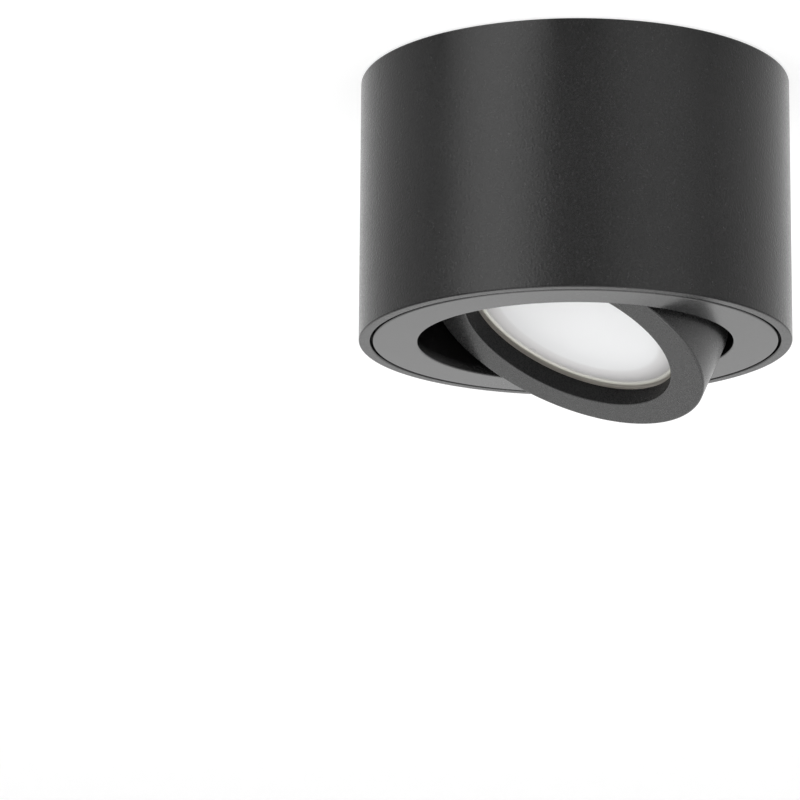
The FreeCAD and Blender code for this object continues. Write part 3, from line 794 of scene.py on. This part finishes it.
# %% [markdown]
# ## The powder coats
# The can has a sandy coat: soft grains half a millimetre wide that stand up by less than a
# tenth, so the light breaks up along the highlight, and about one facet in seventy is brighter
# than the rest. The plate and the ring have a smoother satin coat. All three are black pigment
# under a clear resin, so nearly all the light that comes back is reflection, which grows
# towards the grazing edges by itself. Inside the plate's hole and on the wall of the ring's
# opening, where shade falls, a matt black is mixed in as painted shade, by the height in the
# one and by the radius in the other.

# %% Coats for the can, the plate and the ring
NOISE_MIDDLE = 0.5
GRAIN_DETAIL = 1.5
DUNE_WIDTH = 6  # in grains
DUNE_SHARE = 0.25  # of the relief; the grains have the rest
PATCH_SIZE = 18 * MM
TONE_OF_GRAIN, TONE_OF_PATCH, TONE_OF_ALL = 2.5, 0.3, 0.35
ROUGH_OF_GRAIN, ROUGH_OF_PATCH, ROUGH_OF_SPARK = 0.2, 0.06, 0.08
SPARK_WIDTH = 0.7  # in grains
SPARK_FROM = 0.985  # a facet sparks when its random number is above this
SPARK_SHARE = 0.5
SPARK_LIGHT = 2.5
# painted shade: the matt black, and the depths and radii over which it is mixed into the coats
PAINTED_SHADE_BLACK = 0.003
HOLE_SHADE_START, HOLE_SHADE_FULL = 0.5 * MM, 2.0 * MM  # depth behind the plate's face
LIP_SHADE_START, LIP_SHADE_FULL = 0.15 * MM, 0.03 * MM  # distance outside the ring's opening
HOLE_SHADE_MOST, LIP_SHADE_MOST = 0.9, 0.7


def powder_coat(name, grain_size, depth, dark, light, roughness, index):
    """Grains under a resin of some index of refraction.

    The grains' height is a bump, and it also shifts the colour from dark to light and the
    roughness about its mean. Dunes are wide low waves, and patches are slow changes of tone.
    """
    coat = Finish(bpy.data.materials.new(name))
    grain = coat.noise(grain_size, GRAIN_DETAIL)
    dunes = coat.noise(grain_size * DUNE_WIDTH)
    patches = coat.noise(PATCH_SIZE)
    sparks = coat.cells(grain_size * SPARK_WIDTH) > SPARK_FROM
    tone = (grain - NOISE_MIDDLE) * TONE_OF_GRAIN + patches * TONE_OF_PATCH + TONE_OF_ALL
    colour = coat.blend(tone, rgba(dark), rgba(light))
    colour = coat.blend(sparks * SPARK_SHARE, colour, rgba(light * SPARK_LIGHT))
    shift = (grain - NOISE_MIDDLE) * ROUGH_OF_GRAIN + (patches - NOISE_MIDDLE) * ROUGH_OF_PATCH
    return coat.shade(
        Base_Color=colour,
        Roughness=shift + roughness - sparks * ROUGH_OF_SPARK,
        IOR=index,
        Normal=coat.relief(grain * (1 - DUNE_SHARE) + dunes * DUNE_SHARE, depth),
    )


def mix_in_painted_shade(coat, share):
    """Mixes a coat with dead matt black by a share, which paints shade into it."""
    black = coat.node("ShaderNodeBsdfDiffuse", {}, {"Color": rgba(PAINTED_SHADE_BLACK)})
    shiny = Socket(coat, coat.shader.outputs["BSDF"])
    mixed = coat.node("ShaderNodeMixShader", {}, {0: share, 1: shiny, 2: black})
    coat.feed(coat.end.inputs["Surface"], mixed)


sandy = {"grain_size": 0.45 * MM, "depth": 0.09 * MM, "dark": 0.0, "light": 0.009}
satin = {"grain_size": 0.30 * MM, "depth": 0.005 * MM, "dark": 0.012, "light": 0.022}
casing_coat = powder_coat("sandy_black_coat", **sandy, roughness=0.22, index=1.35)
plate_coat = powder_coat("satin_black_coat_plate", **satin, roughness=0.22, index=1.56)
ring_coat = powder_coat("satin_black_coat_ring", **satin, roughness=0.28, index=1.52)
# painted shade inside the plate's hole, deeper behind the face, and on the wall of the ring's opening
plate_height = plate_coat.node("ShaderNodeSeparateXYZ", {}, {"Vector": plate_coat.place}, "Z")
hole_shade_ends = (casing_bottom + HOLE_SHADE_START, casing_bottom + HOLE_SHADE_FULL)
mix_in_painted_shade(plate_coat, plate_coat.ramp(plate_height, *hole_shade_ends, HOLE_SHADE_MOST))
lip_radius = from_axis(ring_coat, to_head(ring_coat))
lip_shade_ends = (opening_radius + LIP_SHADE_START, opening_radius + LIP_SHADE_FULL)
mix_in_painted_shade(ring_coat, ring_coat.ramp(lip_radius, *lip_shade_ends, LIP_SHADE_MOST))
finishes = {"casing_paint": casing_coat, "plate_paint": plate_coat, "ring_paint": ring_coat}
print("coats:", sorted(finishes))

# %% [markdown]
# ## The opal lens
# Opal acrylic is white all through and smooth on the outside. Seen from the room, the disc is
# white. Round it the colour ramp paints shade: the cone is painted the greyer the nearer it
# comes to the bead, where the light that enters is lost behind the lip, and a dark line is
# painted in the groove. The bead is painted lighter, as a painted highlight, and is a little
# creamy, and beyond it the lens is painted dark towards its seat, as painted shade. The finish
# reads the distance from the lens's own axis, which a Mapping node turns upright.

# %% Finish of the lens
HAZE_SIZE = 9 * MM
HAZE_SHARE = 0.12
HAZE_WHITE = (0.80, 0.80, 0.79)
HAZE_ROUGHNESS = 0.12
LENS_ROUGHNESS = 0.24
SKIN_SIZE = 0.8 * MM
SKIN_DEPTH = 0.002 * MM
# painted shade and painted highlight: the greyer cone, the dark groove line, the lighter bead and the dark edge
# beyond it
LENS_TONES_AND_PAINTED_SHADE = [
    # distance from the axis in millimetres, colour
    (0.0, (0.86, 0.865, 0.87)),
    (18.0, (0.84, 0.845, 0.85)),
    (18.9, (0.74, 0.735, 0.735)),
    (20.5, (0.67, 0.66, 0.66)),
    (21.9, (0.57, 0.56, 0.56)),
    (22.1, (0.50, 0.49, 0.46)),
    (22.3, (0.74, 0.73, 0.66)),
    (22.7, (0.80, 0.79, 0.70)),
    (23.2, (0.52, 0.49, 0.44)),
    (25.0, (0.30, 0.28, 0.25)),
]

opal = Finish(bpy.data.materials.new("opal_acrylic"))
painted_lens_ramp = opal.node(
    "ShaderNodeValToRGB",
    {"stops": [(radius * MM / MODULE_RADIUS, colour) for radius, colour in LENS_TONES_AND_PAINTED_SHADE]},
    {"Fac": from_axis(opal, to_head(opal)) * (1 / MODULE_RADIUS)},
)
haze = opal.noise(HAZE_SIZE)
opal.shade(
    Base_Color=opal.blend(haze * HAZE_SHARE, painted_lens_ramp, rgba(HAZE_WHITE)),
    Roughness=haze * HAZE_ROUGHNESS + LENS_ROUGHNESS,
    Normal=opal.relief(opal.noise(SKIN_SIZE), SKIN_DEPTH),
)
finishes["opal_lens"] = opal
print("lens tones at", [radius for radius, _ in LENS_TONES_AND_PAINTED_SHADE], "mm from the axis")

# %% [markdown]
# ## Metals, plastics and the rest
# The inside of the lamp is small hardware in plain industrial finishes. They differ in colour,
# gloss and in the direction of their marks: a turned or plated part has even fine grain, and
# a rolled strip has lines along its length. One function covers them all.

# %% Finishes of the hardware
FINE_DETAIL = 3.0
CLOUD_SIZE = 6 * MM
CLOUD_SHARE = 0.6  # of the tone; the fine grain has the rest
DARKEST, LIGHTEST = 0.75, 1.15  # of the colour
ROUGH_OF_FINE, ROUGH_OF_CLOUD = 0.2, 0.12


def plain_finish(name, colour, roughness, metallic=0.0, grain=0.3, depth=0.004, stretch=(1, 1, 1)):
    """A colour with soft clouds over it and a fine grain, stretched where the metal was rolled.

    The grain's size and depth are in millimetres. A stretch below 1 draws it out along an axis.
    """
    made = Finish(bpy.data.materials.new(name))
    drawn = made.node("ShaderNodeMapping", {}, {"Vector": made.place, "Scale": stretch})
    fine = made.noise(grain * MM, FINE_DETAIL, drawn)
    clouds = made.noise(CLOUD_SIZE)
    darker = [c * DARKEST for c in rgba(colour)[:3]]
    lighter = [min(c * LIGHTEST, 1) for c in rgba(colour)[:3]]
    tone = clouds * CLOUD_SHARE + fine * (1 - CLOUD_SHARE)
    shift = (fine - NOISE_MIDDLE) * ROUGH_OF_FINE + (clouds - NOISE_MIDDLE) * ROUGH_OF_CLOUD
    return made.shade(
        Base_Color=made.blend(tone, rgba(darker), rgba(lighter)),
        Roughness=shift + roughness,
        Metallic=metallic,
        Normal=made.relief(fine, depth * MM),
    )


finishes.update(
    nickel=plain_finish("bright_nickel", (0.72, 0.71, 0.68), 0.22, 1.0, 0.5, 0.002),
    spring_steel=plain_finish("rolled_spring_steel", (0.42, 0.42, 0.43), 0.34, 1.0, 0.5, 0.004, (1, 1, 0.1)),
    zinc_steel=plain_finish("zinc_plate", (0.58, 0.60, 0.62), 0.36, 1.0, 0.4, 0.005),
    brass=plain_finish("turned_brass", (0.72, 0.55, 0.28), 0.32, 1.0, 0.3, 0.004),
    grommet_rubber=plain_finish("black_rubber", 0.025, 0.72, 0.0, 0.5, 0.012),
    terminal_plastic=plain_finish("white_polyamide", (0.62, 0.61, 0.57), 0.48, 0.0, 0.4, 0.006),
    washer_nylon=plain_finish("black_nylon", 0.02, 0.5, 0.0, 0.3, 0.006),
    # the heat sink is made near black so that the gap behind the ring stays dark: painted shade
    sink_aluminium=plain_finish("black_anodised_aluminium", 0.022, 0.45, 0.4, 0.35, 0.008),
    board_white=plain_finish("white_solder_mask", (0.80, 0.80, 0.78), 0.35, 0.0, 0.4, 0.003),
    chip_phosphor=plain_finish("phosphor_in_resin", (0.84, 0.66, 0.16), 0.3, 0.0, 0.2, 0.006),
    driver_green=plain_finish("green_solder_mask", (0.03, 0.20, 0.08), 0.32, 0.0, 0.5, 0.006, (1, 0.3, 1)),
    capacitor_sleeve=plain_finish("dark_sleeve", (0.03, 0.04, 0.09), 0.3, 0.0, 0.6, 0.003),
    choke_core=plain_finish("varnished_ferrite", (0.07, 0.055, 0.05), 0.4, 0.0, 0.3, 0.01, (1, 1, 4)),
    component_black=plain_finish("moulded_epoxy", 0.02, 0.55, 0.0, 0.25, 0.008),
    cap_plastic=plain_finish("black_polycarbonate", 0.018, 0.5, 0.0, 0.3, 0.008),
)
print(len(finishes), "finishes")

# %% [markdown]
# ## Dressing the pieces
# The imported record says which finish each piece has, so new pieces and packed ones are
# dressed by the same rule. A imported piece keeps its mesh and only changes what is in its
# material slots.

# %% Give every piece its finish
slot_of = {row["node"]: row["material_slot"] for row in frame["record"]["subparts"]}
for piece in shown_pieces():
    finish = finishes[slot_of.get(piece.name) or piece["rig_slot"]].owner
    if not piece.material_slots:
        piece.data.materials.append(finish)
    for place in piece.material_slots:
        place.material = finish

# %% [markdown]
# ## The studio
# The lamp hangs from a white ceiling, with a pale floor far below. The ceiling is a sheet
# with a hole behind the lamp and shows only from below, so that a view from above still sees
# the lamp and the light still reaches its back. Both sheets and the world look white to the
# camera and in reflections, mostly by their own colour. The rest of the white is light that
# falls on them, so that a deep shadow still shows.

# %% A sheet, and what the camera sees
STAGE_RADIUS = 4.0
STAGE_SECTORS = 96


def sheet_between(name, inner, outer, height):
    """A flat ring, which faces down, between two radii."""
    angle = np.arange(STAGE_SECTORS) * 2 * math.pi / STAGE_SECTORS
    round_once = np.stack([np.cos(angle), np.sin(angle)], -1)
    points = np.concatenate([round_once * inner, round_once * outer])
    this, following = np.arange(STAGE_SECTORS), (np.arange(STAGE_SECTORS) + 1) % STAGE_SECTORS
    faces = np.stack([this, following, following + STAGE_SECTORS, this + STAGE_SECTORS], -1)
    made = new_piece(name, np.column_stack([points, np.full(len(points), height)]), faces.tolist())
    return made


def seen_directly(made):
    """1 for what the camera sees, straight, in a reflection or through glass, and else 0."""
    camera_ray = made.node("ShaderNodeLightPath", output="Is Camera Ray")
    glossy_ray = made.node("ShaderNodeLightPath", output="Is Glossy Ray")
    glass_ray = made.node("ShaderNodeLightPath", output="Is Transmission Ray")
    return camera_ray | glossy_ray | glass_ray


print("the sheets reach", STAGE_RADIUS, "m from the lamp")

# %% [markdown]
# ## Windows that only reflections see
# The can's wall is upright and is seen from below, so like any upright mirror it shows the
# ceiling, and never a box that stands beside the camera. The two soft bands that run down it
# are therefore two wedges of ceiling that shine for reflections only. For the camera and for
# matt surfaces the ceiling stays even.

# %% Two windows in the ceiling
WINDOWS = [(-42.0, 2.4), (42.0, 0.7)]  # degrees from the camera, strength
WINDOW_HALF = math.radians(31)
WINDOW_GATHERING = 27.6 * MM


def reflected_windows(made):
    """Two wedges of ceiling that are brighter in reflections only.

    Seen from where the front of the can seems to gather light, a wedge has the same direction
    at every distance, so that it draws an even band down the can. It fades with the cosine of
    the angle from its middle.
    """
    gathering = compass(CAMERA_AZIMUTH, 0) * WINDOW_GATHERING
    away = made.node("ShaderNodeVectorMath", {"operation": "SUBTRACT"}, {0: made.place, 1: gathering})
    way = made.node("ShaderNodeVectorMath", {"operation": "NORMALIZE"}, {0: away})
    shares = []
    for turn, strength in WINDOWS:
        middle = compass(CAMERA_AZIMUTH + math.radians(turn), 0)
        dot = made.node("ShaderNodeVectorMath", {"operation": "DOT_PRODUCT"}, {0: way, 1: middle}, "Value")
        shares.append(made.ramp(dot, math.cos(WINDOW_HALF), 1.0, strength))
    return sum(shares) * made.node("ShaderNodeLightPath", output="Is Glossy Ray")


print("windows at", [turn for turn, _ in WINDOWS], "degrees from the camera")

# %% Ceiling, floor and world
CEILING_HEIGHT = 0.2 * MM
CEILING_HOLE = casing_radius - 0.6 * MM
FLOOR_HEIGHT = -1.4
FLOOR_HOLE = 1.0 * MM
SHADOW_SHARE = 0.4
OWN_SHARE = 0.72
STAGE_WHITE = 0.8
WORLD_LIGHT = 0.8


def stage_sheet(name, inner, height, one_sided):
    """A white sheet: its own white plus a part of the light on it, which keeps the shadow."""
    made = Finish(bpy.data.materials.new(name))
    made.tree.nodes.remove(made.shader)
    lit = made.node("ShaderNodeBsdfDiffuse", {}, {"Color": rgba(SHADOW_SHARE)})
    strength = reflected_windows(made) + OWN_SHARE if one_sided else OWN_SHARE
    own = made.node("ShaderNodeEmission", {}, {"Color": rgba(1.0), "Strength": strength})
    white = made.node("ShaderNodeAddShader", {}, {0: lit, 1: own})
    plain = made.node("ShaderNodeBsdfDiffuse", {}, {"Color": rgba(STAGE_WHITE)})
    surface = made.node("ShaderNodeMixShader", {}, {0: seen_directly(made), 1: plain, 2: white})
    if one_sided:
        behind = made.node("ShaderNodeNewGeometry", output="Backfacing")
        clear = made.node("ShaderNodeBsdfTransparent")
        surface = made.node("ShaderNodeMixShader", {}, {0: behind, 1: surface, 2: clear})
    made.feed(made.end.inputs["Surface"], surface)
    sheet_between(name, inner, STAGE_RADIUS, height).data.materials.append(made.owner)


stage_sheet("ceiling", CEILING_HOLE, CEILING_HEIGHT, one_sided=True)
stage_sheet("floor", FLOOR_HOLE, FLOOR_HEIGHT, one_sided=False)
world = bpy.data.worlds.new("pale room")
bpy.context.scene.world = world
room = Finish(world)
room.shade(Color=rgba(1.0), Strength=seen_directly(room) * (1 - WORLD_LIGHT) + WORLD_LIGHT)
print("ceiling hole", round(CEILING_HOLE / MM, 1), "mm, floor at", FLOOR_HEIGHT, "m")

# %% [markdown]
# ## The lights
# Two wide soft boxes stand left and right of the camera, as low as it, and a wide panel lies
# below the lamp. They give the plain light on the can's sides, the plate, the ring and the
# lens, while the bands on the can come from the windows. All three are large and near, so
# their shadows stay soft.

# %% Soft boxes and a panel
LIGHTS = {
    # azimuth from the camera and elevation in degrees; distance, width and height in metres;
    # power in watts
    "left_box": (-42.0, -16.0, 1.3, 0.9, 0.8, 4.2),
    "right_box": (42.0, -16.0, 1.3, 0.9, 0.8, 2.0),
    "panel_below": (0.0, -80.0, 1.2, 1.4, 1.4, 9.4),
}
for name, (turn, elevation, distance, width, height, power) in LIGHTS.items():
    light = bpy.data.lights.new(name, "AREA")
    light.shape = "RECTANGLE"
    light.size = width
    light.size_y = height
    light.energy = power
    box = bpy.data.objects.new(name, light)
    bpy.context.scene.collection.objects.link(box)
    way = compass(CAMERA_AZIMUTH + math.radians(turn), math.radians(elevation))
    box.location = lamp_middle + way * distance
    box.rotation_mode = "QUATERNION"
    box.rotation_quaternion = (-way).to_track_quat("-Z", "Y")
    print(name, power, "W at", [round(c, 2) for c in box.location])

# %% The view transform
bpy.context.scene.view_settings.view_transform = "Standard"
